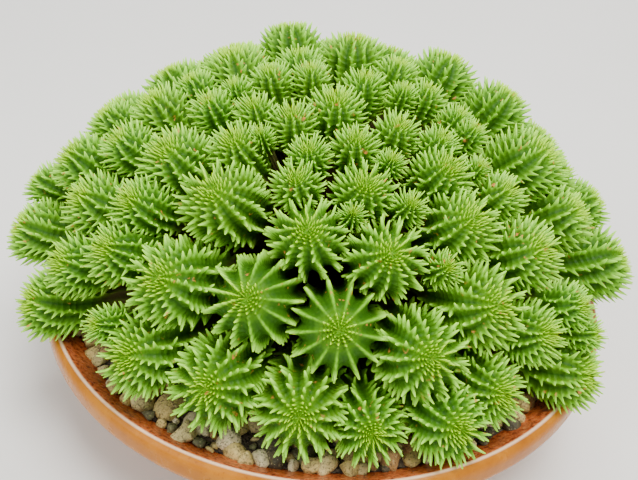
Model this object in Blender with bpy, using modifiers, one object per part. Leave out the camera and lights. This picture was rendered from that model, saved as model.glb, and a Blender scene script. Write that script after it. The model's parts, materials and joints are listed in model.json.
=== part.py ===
"""Potted euphorbia: a dome of toothed, ribbed heads in a shallow glazed bowl with gravel.

Metres, +Z up. The origin is the middle of the bowl's flat foot, on the surface that it stands on.
A bearing is in degrees round the bowl, 0 at the front (-Y) and 90 at the right (+X). A lean is in
degrees from upright, seen from HUB, the point that every stem grows out from.
"""

import math
import random

import bmesh
import bpy
import numpy as np

# The bowl: a straight inner wall, a narrow rounded crest and a collar round the outside of the rim
RIM_RADIUS = 0.165
RIM_HEIGHT = 0.0757
CREST_RADII = (0.0043, 0.0057)
CREST_TURNS = (100, 65, 30, 0)
COLLAR_HEIGHT = 0.0655
COLLAR_RADII = (0.0070, 0.0080)
COLLAR_TURNS = (0, -45, -90)
NECK_RADIUS = 0.153
NECK_HEIGHT = 0.058
WALL_SHARES = (0.34, 0.67)
WALL_BELLY = 0.004
FOOT_RADIUS = 0.084
FOOT_HEIGHT = 0.008
FOOT_BEVEL = 0.002
FLOOR_THICKNESS = 0.0115
INNER_FLOOR_RADIUS = 0.078
INNER_RIM_RADIUS = 0.1579
INNER_RIM_HEIGHT = 0.0744
DRAIN_HOLES = 4
DRAIN_RADIUS = 0.006
DRAIN_RING_RADIUS = 0.045
DRAIN_SIDES = 12
DRILL_LENGTH = 0.04
BOWL_SIDES = 32

# The soil, the gravel on it and the rootstock in it
CLEARANCE = 0.0003
BED_HEIGHT = 0.0590
BED_TOP = 0.0665
BED_BEVEL = 0.002
GRAVEL_INNER_RADIUS = 0.0985
MOUND_RADIUS = 0.0945
MOUND_HEIGHT = 0.0690
PIT_FLOOR = 0.030
PIT_SHOULDER = 0.057
TAPROOT_RADIUS = 0.020
TAPROOT_BEVEL = 0.004
ROOT_RADIUS = 0.045
ROOT_SIDES = 20
ROOT_TURNS = (68, 46, 24, 2, -18)
HUB = np.array((0.0, 0.0, 0.075))
PEBBLE_SEED = 5
PEBBLE_RINGS = ((0.1210, 38), (0.1378, 44))
PEBBLE_SIZE = (0.0062, 0.0086)
PEBBLE_HEIGHT = (0.0062, 0.0086)
PEBBLE_LENGTHS = (0.80, 1.0)
PEBBLE_FOOT = 0.0648
PEBBLE_JITTER = 0.15
PEBBLE_DRIFT = 0.0012
PEBBLE_TILT = 0.12
PEBBLE_CLEARANCE = 0.0014
STONE_SIDES = 6
STONE_TOP = 0.6

# The dome that the crowns of the hidden heads reach
DOME_CENTRE = np.array((-0.004, 0.004, 0.080))
DOME_RADII = np.array((0.174, 0.158, 0.129))

# Heads on the side that the photograph shows: bearing, lean, width over the teeth and reach, in mm
HEADS_SEEN = (
    (67, 6, 20, 134), (-83, 7, 17, 135), (-3, 12, 27, 134), (-130, 13, 21, 136),
    (73, 15, 14, 135), (-86, 16, 19, 137), (122, 16, 19, 136), (84, 20, 19, 137),
    (172, 20, 32, 140), (-30, 20, 25, 136), (37, 22, 21, 136), (-53, 23, 21, 138),
    (-77, 24, 14, 139), (10, 24, 23, 136), (74, 28, 17, 139), (-35, 28, 14, 139),
    (-12, 28, 22, 138), (-117, 29, 32, 142), (51, 29, 21, 139), (-70, 30, 21, 142),
    (23, 30, 14, 138), (69, 32, 17, 141), (-42, 32, 33, 141), (128, 33, 32, 147),
    (-157, 34, 32, 149), (11, 35, 34, 139), (-97, 35, 21, 143), (-13, 35, 28, 140),
    (43, 35, 34, 141), (55, 38, 14, 142), (24, 40, 18, 141), (6, 41, 16, 141),
    (-58, 42, 36, 148), (-88, 42, 31, 149), (108, 42, 32, 151), (-35, 43, 41, 145),
    (57, 45, 26, 146), (-6, 45, 42, 143), (40, 46, 42, 145), (82, 47, 38, 153),
    (-74, 49, 25, 155), (15, 49, 40, 145), (-53, 53, 30, 154), (-91, 53, 23, 160),
    (28, 53, 17, 147), (54, 57, 35, 153), (-16, 59, 45, 150), (-80, 59, 29, 167),
    (-66, 60, 30, 161), (-35, 61, 42, 155), (3, 62, 45, 150), (37, 62, 42, 152),
    (-50, 62, 32, 159), (21, 68, 42, 152), (57, 70, 24, 163), (93, 68, 31, 165),
    (-59, 70, 28, 166), (47, 71, 30, 158), (-90, 73, 22, 178), (-44, 74, 16, 163),
    (-36, 76, 40, 161), (58, 76, 20, 168), (-80, 77, 32, 179), (85, 77, 46, 173),
    (-20, 76, 41, 156), (35, 78, 33, 157), (-3, 78, 42, 154), (10, 81, 32, 154),
    (25, 81, 38, 161), (55, 83, 37, 169), (-64, 82, 33, 174),
)

# Heads on the far side, which the photograph hides, are set out by a rule: large ones, then offsets
# One head at the right that the heads in front of it hide, in the same numbers
HEADS_BEHIND = [(72, 84, 31, 151)]
FAR_SEED = 11
FAR_DRAWS = 6000
FAR_BEARINGS = (75, 265)
FAR_LEANS = (36, 82)
FAR_WIDTHS = ((32, 44), (24, 28))
FAR_CROWDING = (1.0, 1.0)
FAR_REACH = 0.98

# A head and its stem: the profile's lengths are parts of half the head's width
MM = 0.001
GAP = 0.0002
HEAD_FLOOR = 0.0766
STEM_START = 0.0455
STEM_FOOT_RADIUS = 0.016
LEAST_SHARE = 0.02
OFFSET_REACH = 0.8
OFFSET_BITE = 0.0014
LEAN_OF_FACE = 0.72
NEARLY_UPRIGHT = 0.05
OFFSET_WIDTH = 33
GROWTH_SMALL = 0.009
GROWTH_LARGE = 0.003
GROWTH_DIRECTIONS = 16
LARGE_WIDTH = 0.0445
MEDIUM_WIDTH = 0.0400
TURN = math.radians(137.5)
BODY_RADIUS = 0.74
DOME_SHARE = 0.45
DOME_HEIGHT = 0.60
SIDE_LENGTH = 1.40
SIDE_TAPER = 0.30
TOP_SHARE = 0.10
STAGGER = 0.18
TOOTH_LENGTHS = (0.12, 0.17)
TOOTH_SPREAD = 1.06
TOOTH_TURN = 0.85

COLOURS = {
    "bowl": (0.42, 0.13, 0.035, 0.22),
    "soil": (0.035, 0.022, 0.015, 0.95),
    "gravel": (0.46, 0.38, 0.27, 0.75),
    "rootstock": (0.10, 0.05, 0.03, 0.9),
    "stem": (0.20, 0.38, 0.07, 0.5),
}


def clear_scene():
    for old in list(bpy.data.objects):
        bpy.data.objects.remove(old, do_unlink=True)


def new_collection(name):
    made = bpy.data.collections.new(name)
    bpy.context.scene.collection.children.link(made)
    return made


def new_material(name):
    red, green, blue, roughness = COLOURS[name]
    material = bpy.data.materials.new(name)
    material.use_nodes = True
    shader = material.node_tree.nodes["Principled BSDF"]
    shader.inputs["Base Color"].default_value = (red, green, blue, 1)
    shader.inputs["Roughness"].default_value = roughness
    return material


def add_object(name, mesh, collection, material=None):
    made = bpy.data.objects.new(name, mesh)
    collection.objects.link(made)
    if material is not None:
        mesh.materials.append(material)
    return made


def apply_modifiers(obj):
    graph = bpy.context.evaluated_depsgraph_get()
    mesh = bpy.data.meshes.new_from_object(obj.evaluated_get(graph))
    obj.modifiers.clear()
    old = obj.data
    obj.data = mesh
    bpy.data.meshes.remove(old)


def boolean(obj, operation, others, solver="EXACT"):
    """Joins or cuts obj with every object of a collection, then removes those objects."""
    modifier = obj.modifiers.new("join", "BOOLEAN")
    modifier.operation = operation
    modifier.operand_type = "COLLECTION"
    modifier.collection = others
    modifier.solver = solver
    apply_modifiers(obj)
    for used in list(others.objects):
        bpy.data.objects.remove(used, do_unlink=True)
    bpy.data.collections.remove(others)


def turned(name, profile, sides, collection, material):
    """A solid of revolution from a profile that runs down its outer side, a ring where it clears the axis."""
    mesh = bpy.data.meshes.new(name)
    shape = bmesh.new()
    points = [shape.verts.new((radius, 0, height)) for radius, height in profile]
    if profile[0][0] > 0:
        points.append(points[0])
    for first, second in zip(points, points[1:]):
        shape.edges.new((first, second))
    shape.to_mesh(mesh)
    shape.free()
    made = add_object(name, mesh, collection, material)
    screw = made.modifiers.new("turn", "SCREW")
    screw.steps = sides
    screw.render_steps = sides
    screw.use_merge_vertices = True
    screw.merge_threshold = 0.0001
    return made


def inner_radius(height):
    """The bowl's inner wall runs straight from its floor to the lip."""
    share = (INNER_RIM_HEIGHT - height) / (INNER_RIM_HEIGHT - FLOOR_THICKNESS)
    return INNER_RIM_RADIUS + (INNER_FLOOR_RADIUS - INNER_RIM_RADIUS) * share


def arc(radius, height, radii, turns):
    """Points of an upright ellipse about (radius, height), at turns in degrees from outwards."""
    turns = [math.radians(turn) for turn in turns]
    return [(radius + radii[0] * math.cos(turn), height + radii[1] * math.sin(turn)) for turn in turns]


def build_bowl(collection):
    crest = arc(RIM_RADIUS - CREST_RADII[0], RIM_HEIGHT - CREST_RADII[1], CREST_RADII, CREST_TURNS)
    collar = arc(RIM_RADIUS - COLLAR_RADII[0], COLLAR_HEIGHT, COLLAR_RADII, COLLAR_TURNS)
    wall = [(NECK_RADIUS, NECK_HEIGHT)]
    for share in WALL_SHARES:
        radius = NECK_RADIUS + (FOOT_RADIUS - NECK_RADIUS) * share
        height = NECK_HEIGHT + (FOOT_HEIGHT - NECK_HEIGHT) * share
        wall.append((radius, height - WALL_BELLY * math.sin(math.pi * share)))
    inside = [(0, FLOOR_THICKNESS), (INNER_FLOOR_RADIUS, FLOOR_THICKNESS), (INNER_RIM_RADIUS, INNER_RIM_HEIGHT)]
    foot = [(FOOT_RADIUS, FOOT_HEIGHT), (FOOT_RADIUS - FOOT_BEVEL, 0), (0, 0)]
    profile = inside + crest + collar + wall + foot
    bowl = turned("bowl", profile, BOWL_SIDES, collection, new_material("bowl"))
    apply_modifiers(bowl)
    drills = new_collection("drills")
    for index in range(DRAIN_HOLES):
        turn = math.tau * (index + 0.5) / DRAIN_HOLES
        mesh = bpy.data.meshes.new("drill")
        shape = bmesh.new()
        bmesh.ops.create_cone(
            shape,
            cap_ends=True,
            segments=DRAIN_SIDES,
            radius1=DRAIN_RADIUS,
            radius2=DRAIN_RADIUS,
            depth=DRILL_LENGTH,
        )
        shape.to_mesh(mesh)
        shape.free()
        drill = add_object(f"drill_{index}", mesh, drills)
        drill.location = (DRAIN_RING_RADIUS * math.cos(turn), DRAIN_RING_RADIUS * math.sin(turn), 0)
    bpy.context.view_layer.update()
    boolean(bowl, "DIFFERENCE", drills)


def build_soil(collection):
    low = FLOOR_THICKNESS + CLEARANCE
    pit_radius = ROOT_RADIUS + CLEARANCE
    profile = [
        (0, PIT_FLOOR),
        (TAPROOT_RADIUS, PIT_FLOOR),
        (pit_radius, PIT_SHOULDER),
        (pit_radius, MOUND_HEIGHT),
        (MOUND_RADIUS, MOUND_HEIGHT),
        (GRAVEL_INNER_RADIUS - CLEARANCE, BED_HEIGHT - CLEARANCE),
        (inner_radius(BED_HEIGHT) - 2 * CLEARANCE, BED_HEIGHT - CLEARANCE),
        (inner_radius(low) - 2 * CLEARANCE, low),
        (0, low),
    ]
    turned("soil", profile, BOWL_SIDES, collection, new_material("soil"))


def build_rootstock(collection):
    profile = [(0, HUB[2] + ROOT_RADIUS)] + arc(0, HUB[2], (ROOT_RADIUS, ROOT_RADIUS), ROOT_TURNS)
    profile.append((TAPROOT_RADIUS, PIT_FLOOR + TAPROOT_BEVEL))
    profile.append((TAPROOT_RADIUS - TAPROOT_BEVEL, PIT_FLOOR + CLEARANCE))
    profile.append((0, PIT_FLOOR + CLEARANCE))
    turned("rootstock", profile, ROOT_SIDES, collection, new_material("rootstock"))


def pebbles():
    """Where each pebble of the top dressing lies, how large it is and how it is turned."""
    draw = random.Random(PEBBLE_SEED)
    placed = []
    for ring_radius, count in PEBBLE_RINGS:
        start = draw.random()
        for index in range(count):
            bearing = math.tau * (index + start + draw.uniform(-PEBBLE_JITTER, PEBBLE_JITTER)) / count
            size = draw.uniform(*PEBBLE_SIZE)
            height = draw.uniform(*PEBBLE_HEIGHT)
            radius = ring_radius + draw.uniform(-PEBBLE_DRIFT, PEBBLE_DRIFT)
            radius = min(radius, inner_radius(PEBBLE_FOOT) - size - PEBBLE_CLEARANCE)
            sides = (size, size * draw.uniform(*PEBBLE_LENGTHS), height)
            tilts = [draw.uniform(-PEBBLE_TILT, PEBBLE_TILT) for _ in range(2)]
            angles = (*tilts, draw.uniform(0, math.tau))
            centre = (radius * math.sin(bearing), -radius * math.cos(bearing), PEBBLE_FOOT)
            placed.append((centre, sides, angles))
    return placed


def build_gravel(collection):
    wall_low = inner_radius(BED_HEIGHT) - 2 * CLEARANCE
    wall_high = inner_radius(BED_TOP) - 2 * CLEARANCE
    inner = GRAVEL_INNER_RADIUS
    profile = [
        (inner, BED_HEIGHT),
        (inner + BED_BEVEL, BED_TOP),
        (wall_high, BED_TOP),
        (wall_low, BED_HEIGHT),
    ]
    gravel = turned("gravel", profile, BOWL_SIDES, collection, new_material("gravel"))
    apply_modifiers(gravel)
    stones = new_collection("stones")
    for index, (centre, sides, angles) in enumerate(pebbles()):
        mesh = bpy.data.meshes.new("stone")
        shape = bmesh.new()
        bmesh.ops.create_cone(
            shape, cap_ends=True, segments=STONE_SIDES, radius1=1, radius2=STONE_TOP, depth=1
        )
        bmesh.ops.translate(shape, verts=shape.verts, vec=(0, 0, 0.5))
        shape.to_mesh(mesh)
        shape.free()
        stone = add_object(f"stone_{index}", mesh, stones)
        stone.location = centre
        stone.rotation_euler = angles
        stone.scale = sides
    bpy.context.view_layer.update()
    boolean(gravel, "UNION", stones, "MANIFOLD")


def direction(bearing, lean):
    bearing, lean = math.radians(bearing), math.radians(lean)
    flat = math.sin(lean)
    return np.array((flat * math.sin(bearing), -flat * math.cos(bearing), math.cos(lean)))


def reach_to_dome(way):
    """How far it is from HUB to the dome of the crowns."""
    start = (HUB - DOME_CENTRE) / DOME_RADII
    step = way / DOME_RADII
    a, b, c = step @ step, start @ step, start @ start - 1
    return (-b + math.sqrt(b * b - a * c)) / a


def has_room(way, reach, width, heads, crowding):
    for bearing, lean, other_width, _ in heads:
        apart = math.acos(max(-1.0, min(1.0, float(way @ direction(bearing, lean)))))
        if apart * reach < crowding * MM * (width + other_width) / 2:
            return False
    return True


def far_heads(seen):
    """Fills the hidden side: a drawn place is kept where a head of its width has room."""
    draw = random.Random(FAR_SEED)
    heads = list(seen)
    for widths, crowding in zip(FAR_WIDTHS, FAR_CROWDING):
        for _ in range(FAR_DRAWS):
            bearing = draw.uniform(*FAR_BEARINGS)
            lean = draw.uniform(*FAR_LEANS)
            width = draw.uniform(*widths)
            way = direction(bearing, lean)
            reach = reach_to_dome(way)
            if has_room(way, reach, width, heads, crowding):
                heads.append((bearing, lean, width, FAR_REACH * reach / MM))
    return heads[len(seen):]


class Head:
    """One head: where its crown is, which way it faces, its width and its ribs."""

    def __init__(self, index, bearing, lean, width, reach):
        self.index = index
        self.width = width * MM
        self.way = direction(bearing, lean)
        self.reach = reach * MM
        self.crown = HUB + self.way * self.reach
        self.face = direction(bearing, lean * LEAN_OF_FACE)
        self.is_offset = width <= OFFSET_WIDTH
        self.parent = None
        self.stem = self
        self.spin = index * TURN
        self.walls = []

    def grow(self):
        """Widens the head to the room that its neighbours leave it, within a limit, and sets its ribs."""
        growth = GROWTH_LARGE if self.width > LARGE_WIDTH else GROWTH_SMALL
        limit = (self.width + growth) / 2
        across, up = self.frame()
        rooms = []
        for step in range(GROWTH_DIRECTIONS):
            turn = math.tau * step / GROWTH_DIRECTIONS
            out = math.cos(turn) * across + math.sin(turn) * up
            room = limit
            for normal, _, _ in self.walls:
                if out @ normal > 0:
                    room = min(room, float((HUB - self.crown) @ normal / (out @ normal)))
            rooms.append(room)
        self.width = max(self.width, 2 * sum(rooms) / len(rooms))
        large = self.width >= LARGE_WIDTH
        medium = self.width >= MEDIUM_WIDTH
        self.ribs = 12 if large else 10 if medium else 8
        self.levels = 3 if medium else 2

    def centre(self, depth):
        """The head's centre line: it leaves the crown against the way it faces and bends to its stem."""
        length = (DOME_HEIGHT + SIDE_LENGTH) * self.width / 2
        share = depth / (DOME_HEIGHT + SIDE_LENGTH)
        bend = self.crown - self.face * length / 2
        end = HUB + self.way * (self.reach - length)
        return (1 - share) ** 2 * self.crown + 2 * share * (1 - share) * bend + share * share * end

    def frame(self):
        """Two directions square to the way the head faces."""
        side = np.cross(self.face, (0.0, 0.0, 1.0))
        if np.linalg.norm(side) < NEARLY_UPRIGHT:
            side = np.array((1.0, 0.0, 0.0))
        side = side / np.linalg.norm(side)
        other = np.cross(self.face, side)
        across = math.cos(self.spin) * side + math.sin(self.spin) * other
        return across, np.cross(self.face, across)

    def aim(self, target):
        """Spins the head so that the first point of its foot looks at target."""
        self.spin = 0.0
        across, up = self.frame()
        wanted = target - self.crown
        self.spin = math.atan2(wanted @ up, wanted @ across) - math.tau / self.ribs


def wall_between(first, second):
    """The plane through HUB that parts two heads, nearer the narrower one: its normal points at second."""
    cosine = float(first.way @ second.way)
    apart = math.acos(cosine)
    along = second.way - cosine * first.way
    along = along / np.linalg.norm(along)
    turn = apart * first.width / (first.width + second.width)
    return math.cos(turn) * along - math.sin(turn) * first.way


def raise_walls(heads):
    for first in heads:
        for second in heads:
            if second.index > first.index:
                normal = wall_between(first, second)
                first.walls.append((normal, -GAP, second))
                second.walls.append((-normal, -GAP, first))


def keep_inside(head, centre, point, stem=None):
    """Draws point towards centre until it is above the rim and inside the head's walls, but for those in stem."""
    share = 1.0
    planes = [wall[:2] for wall in head.walls if wall[2].stem is not stem]
    planes.append((np.array((0.0, 0.0, -1.0)), HUB[2] - HEAD_FLOOR))
    for normal, limit in planes:
        here = (centre - HUB) @ normal
        there = (point - HUB) @ normal
        if there > limit:
            share = min(share, max(LEAST_SHARE, (limit - here) / (there - here)))
    return centre + (point - centre) * share


def root_point(child, parent):
    """Where an offset's foot runs into the foot of the head that it grows from, and how far past their wall."""
    foot = HUB + child.way * STEM_START
    toward = HUB + parent.way * STEM_START - foot
    toward = toward - child.way * (toward @ child.way)
    point = keep_inside(child, foot, foot + OFFSET_REACH * toward, parent.stem)
    wall = next(wall for wall in child.walls if wall[2] is parent)
    return point, float((point - HUB) @ wall[0])


def body_profile(share):
    """Radius and depth below the crown, as parts of half the width, along the head's body."""
    if share < DOME_SHARE:
        turn = math.pi / 2 * share / DOME_SHARE
        return BODY_RADIUS * math.sin(turn), DOME_HEIGHT * (1 - math.cos(turn)), turn
    side = (share - DOME_SHARE) / (1 - DOME_SHARE)
    return BODY_RADIUS * (1 - SIDE_TAPER * side * side), DOME_HEIGHT + SIDE_LENGTH * side, math.pi / 2


def tooth_profile(share):
    """Radius and depth of a tooth's tip: it points up at the crown and out at the side."""
    radius, depth, turn = body_profile(share)
    length = TOOTH_LENGTHS[0] + TOOTH_LENGTHS[1] * math.sin(turn)
    out = TOOTH_TURN * turn
    return radius * TOOTH_SPREAD + length * math.sin(out), depth - length * math.cos(out)


def head_mesh(head):
    """A lattice of toothed ribs: each tooth is a four-sided pyramid between the valleys beside its rib."""
    half = head.width / 2
    across, up = head.frame()
    ribs, levels = head.ribs, head.levels

    def place(radius, depth, turn):
        centre = head.centre(depth)
        out = math.cos(turn) * across + math.sin(turn) * up
        return keep_inside(head, centre, centre + out * radius * half)

    shape = bmesh.new()
    crown = shape.verts.new(head.crown)
    valleys = []
    for level in range(levels + 1):
        share = TOP_SHARE + (1 - TOP_SHARE) * level / levels
        radius, depth, _ = body_profile(share)
        ring = [shape.verts.new(place(radius, depth, math.tau * (rib + 0.5) / ribs)) for rib in range(ribs)]
        valleys.append(ring)
    for rib in range(ribs):
        shape.faces.new((crown, valleys[0][rib - 1], valleys[0][rib]))
        shift = STAGGER if rib % 2 else -STAGGER
        for level in range(levels):
            share = TOP_SHARE + (1 - TOP_SHARE) * (level + 0.5 + shift) / levels
            radius, depth = tooth_profile(share)
            tip = shape.verts.new(place(radius, depth, math.tau * rib / ribs))
            above, below = valleys[level], valleys[level + 1]
            corners = (above[rib - 1], above[rib], below[rib], below[rib - 1])
            for corner in range(4):
                shape.faces.new((corners[corner], corners[corner - 1], tip))
    foot_centre = HUB + head.way * STEM_START
    foot = []
    for index in range(ribs // 2):
        turn = math.tau * (2 * index + 1) / ribs
        out = math.cos(turn) * across + math.sin(turn) * up
        out = out - head.way * (out @ head.way)
        point = keep_inside(head, foot_centre, foot_centre + out / np.linalg.norm(out) * STEM_FOOT_RADIUS)
        if head.parent is not None and index == 0:
            point = root_point(head, head.parent)[0]
        foot.append(shape.verts.new(point))
    low = valleys[-1]
    for index in range(len(foot)):
        following = foot[(index + 1) % len(foot)]
        first, second, third = low[2 * index], low[2 * index + 1], low[(2 * index + 2) % ribs]
        shape.faces.new((first, second, foot[index]))
        shape.faces.new((second, following, foot[index]))
        shape.faces.new((second, third, following))
    shape.faces.new(foot)
    bmesh.ops.recalc_face_normals(shape, faces=shape.faces)
    mesh = bpy.data.meshes.new("head")
    shape.to_mesh(mesh)
    shape.free()
    return mesh


def all_heads():
    """Every head. Each offset joins the nearest head of a stem that its foot can run well into."""
    rows = list(HEADS_SEEN)
    rows += far_heads(HEADS_SEEN)
    rows += HEADS_BEHIND
    heads = [Head(index, *row) for index, row in enumerate(rows)]
    raise_walls(heads)
    for head in heads:
        head.grow()
    joined = [head for head in heads if not head.is_offset]
    waiting = [head for head in heads if head.is_offset]
    while waiting:
        pairs = [(child, parent) for child in waiting for parent in joined]
        pairs.sort(key=lambda pair: -float(pair[0].way @ pair[1].way))
        child, parent = next(pair for pair in pairs if root_point(*pair)[1] > OFFSET_BITE)
        child.parent = parent
        child.stem = parent.stem
        child.aim(parent.crown)
        waiting.remove(child)
        joined.append(child)
    return heads


def offsets_of(head, heads):
    """The offsets that grow from this head, and those that grow from them."""
    found = []
    for other in heads:
        if other.parent is head:
            found += [other] + offsets_of(other, heads)
    return found


def build_stems(collection):
    material = new_material("stem")
    heads = all_heads()
    main = [head for head in heads if head.parent is None]
    for number, head in enumerate(main, 1):
        stem = add_object(f"stem_{number:02d}", head_mesh(head), collection, material)
        offsets = offsets_of(head, heads)
        if offsets:
            others = new_collection("offsets")
            for other in offsets:
                add_object(f"offset_{other.index}", head_mesh(other), others)
            boolean(stem, "UNION", others)
    print(f"{len(heads)} heads on {len(main)} stems")


def main():
    clear_scene()
    plant = new_collection("potted_euphorbia")
    build_bowl(plant)
    build_soil(plant)
    build_rootstock(plant)
    build_gravel(plant)
    build_stems(plant)


main()
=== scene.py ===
"""Looks of the potted euphorbia: toothed heads, glazed bowl, gravel, soil, camera and light.

Metres, +Z up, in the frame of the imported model. A bearing is in degrees round the bowl, 0 at the
front (-Y) and 90 at the right (+X). A lean is in degrees from upright, seen from HUB.
"""

import json
import math
import random

import bmesh
import bpy
import numpy as np
from mathutils import Matrix, Vector, noise

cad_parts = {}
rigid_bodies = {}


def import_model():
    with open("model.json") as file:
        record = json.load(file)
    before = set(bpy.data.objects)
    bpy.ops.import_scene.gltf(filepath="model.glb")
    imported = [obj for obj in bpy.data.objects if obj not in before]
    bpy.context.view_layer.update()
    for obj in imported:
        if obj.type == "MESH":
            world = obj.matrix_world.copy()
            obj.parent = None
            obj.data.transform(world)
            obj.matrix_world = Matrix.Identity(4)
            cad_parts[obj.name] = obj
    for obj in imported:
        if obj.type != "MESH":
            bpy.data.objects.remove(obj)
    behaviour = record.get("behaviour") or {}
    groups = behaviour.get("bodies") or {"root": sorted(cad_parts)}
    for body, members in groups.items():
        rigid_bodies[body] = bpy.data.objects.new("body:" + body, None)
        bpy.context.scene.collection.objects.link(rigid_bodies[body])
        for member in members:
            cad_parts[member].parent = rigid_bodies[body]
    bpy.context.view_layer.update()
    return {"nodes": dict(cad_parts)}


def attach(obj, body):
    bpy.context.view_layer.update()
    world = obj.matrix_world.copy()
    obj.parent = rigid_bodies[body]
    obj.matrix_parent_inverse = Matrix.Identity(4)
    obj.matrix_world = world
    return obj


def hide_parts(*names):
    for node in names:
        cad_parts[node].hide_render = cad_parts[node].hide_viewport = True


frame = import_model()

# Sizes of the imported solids
RIM_RADIUS = 0.165
RIM_HEIGHT = 0.0757
CREST_RADII = (0.0043, 0.0057)
COLLAR_HEIGHT = 0.0655
COLLAR_RADII = (0.0070, 0.0080)
NECK_RADIUS = 0.153
NECK_HEIGHT = 0.058
WALL_BELLY = 0.004
FOOT_RADIUS = 0.084
FOOT_HEIGHT = 0.008
FLOOR_THICKNESS = 0.0115
INNER_FLOOR_RADIUS = 0.078
INNER_RIM_RADIUS = 0.1579
INNER_RIM_HEIGHT = 0.0744
DRAIN_HOLES = 4
DRAIN_RADIUS = 0.006
DRAIN_RING_RADIUS = 0.045

# How finely the bowl is turned, and the small chamfer round its foot
CREST_TURNS = range(110, -1, -10)
COLLAR_TURNS = range(0, -91, -10)
BOWL_SIDES = 160
BOWL_STEPS = 12
BOWL_MIDDLE = 0.02
FOOT_EDGES = ((0.0, 0.003), (-0.002, 0.0004), (-0.003, 0.0))
DRILL_SIDES = 24
DRILL_LENGTH = 0.04

# The soil, the gravel on it and the rootstock in it
CLEARANCE = 0.0003
BED_HEIGHT = 0.0590
BED_TOP = 0.0665
GRAVEL_INNER_RADIUS = 0.0985
MOUND_HEIGHT = 0.0690
PIT_FLOOR = 0.030
TAPROOT_RADIUS = 0.020
TAPROOT_BEVEL = 0.004
ROOT_RADIUS = 0.045
ROOT_TURNS = range(80, -20, -8)
ROOT_NECK = (0.030, 0.042)
ROOT_SIDES = 72
ROOT_CLEARANCE = 0.001
BARK_START = 0.004
BARK_SCALE = 60.0
BARK_DEPTH = 0.0016
BARK_SEED = 4.0
HUB = np.array((0.0, 0.0, 0.075))
PEBBLE_SEED = 5
PEBBLE_RINGS = ((0.1210, 38), (0.1378, 44))
PEBBLE_SIZE = (0.0062, 0.0086)
PEBBLE_HEIGHT = (0.0062, 0.0086)
PEBBLE_LENGTHS = (0.80, 1.0)
PEBBLE_FOOT = 0.0648
PEBBLE_JITTER = 0.15
PEBBLE_DRIFT = 0.0012
PEBBLE_TILT = 0.12
PEBBLE_CLEARANCE = 0.0014

DOME_CENTRE = np.array((-0.004, 0.004, 0.080))
DOME_RADII = np.array((0.174, 0.158, 0.129))

# Heads on the side that the photograph shows: bearing, lean, width over the teeth and reach, in mm
HEADS_SEEN = (
    (67, 6, 20, 134), (-83, 7, 17, 135), (-3, 12, 27, 134), (-130, 13, 21, 136),
    (73, 15, 14, 135), (-86, 16, 19, 137), (122, 16, 19, 136), (84, 20, 19, 137),
    (172, 20, 32, 140), (-30, 20, 25, 136), (37, 22, 21, 136), (-53, 23, 21, 138),
    (-77, 24, 14, 139), (10, 24, 23, 136), (74, 28, 17, 139), (-35, 28, 14, 139),
    (-12, 28, 22, 138), (-117, 29, 32, 142), (51, 29, 21, 139), (-70, 30, 21, 142),
    (23, 30, 14, 138), (69, 32, 17, 141), (-42, 32, 33, 141), (128, 33, 32, 147),
    (-157, 34, 32, 149), (11, 35, 34, 139), (-97, 35, 21, 143), (-13, 35, 28, 140),
    (43, 35, 34, 141), (55, 38, 14, 142), (24, 40, 18, 141), (6, 41, 16, 141),
    (-58, 42, 36, 148), (-88, 42, 31, 149), (108, 42, 32, 151), (-35, 43, 41, 145),
    (57, 45, 26, 146), (-6, 45, 42, 143), (40, 46, 42, 145), (82, 47, 38, 153),
    (-74, 49, 25, 155), (15, 49, 40, 145), (-53, 53, 30, 154), (-91, 53, 23, 160),
    (28, 53, 17, 147), (54, 57, 35, 153), (-16, 59, 45, 150), (-80, 59, 29, 167),
    (-66, 60, 30, 161), (-35, 61, 42, 155), (3, 62, 45, 150), (37, 62, 42, 152),
    (-50, 62, 32, 159), (21, 68, 42, 152), (57, 70, 24, 163), (93, 68, 31, 165),
    (-59, 70, 28, 166), (47, 71, 30, 158), (-90, 73, 22, 178), (-44, 74, 16, 163),
    (-36, 76, 40, 161), (58, 76, 20, 168), (-80, 77, 32, 179), (85, 77, 46, 173),
    (-20, 76, 41, 156), (35, 78, 33, 157), (-3, 78, 42, 154), (10, 81, 32, 154),
    (25, 81, 38, 161), (55, 83, 37, 169), (-64, 82, 33, 174),
)
# One head at the right that the heads in front of it hide, in the same numbers
HEADS_BEHIND = [(72, 84, 31, 151)]
FAR_SEED = 11
FAR_DRAWS = 6000
FAR_BEARINGS = (75, 265)
FAR_LEANS = (36, 82)
FAR_WIDTHS = ((32, 44), (24, 28))
FAR_CROWDING = (1.0, 1.0)
FAR_REACH = 0.98

# How the heads and stems lie, as in the solids. A head's dome takes DOME_SHARE of its body. DOME_HEIGHT
# and SIDE_LENGTH are in parts of half its width.
MM = 0.001
TINY = 1e-9
GAP = 0.0002
HEAD_FLOOR = 0.0766
STEM_START = 0.0455
STEM_FOOT_RADIUS = 0.016
LEAST_SHARE = 0.02
LEAST_DRAW = 0.05
OFFSET_REACH = 0.8
OFFSET_BITE = 0.0014
LEAN_OF_FACE = 0.72
NEARLY_UPRIGHT = 0.05
OFFSET_WIDTH = 33
GROWTH_SMALL = 0.009
GROWTH_LARGE = 0.003
GROWTH_DIRECTIONS = 16
LARGE_WIDTH = 0.0445
TURN = math.radians(137.5)
DOME_SHARE = 0.45
DOME_HEIGHT = 0.60
SIDE_LENGTH = 1.40
SIDE_TAPER = 0.30

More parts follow.
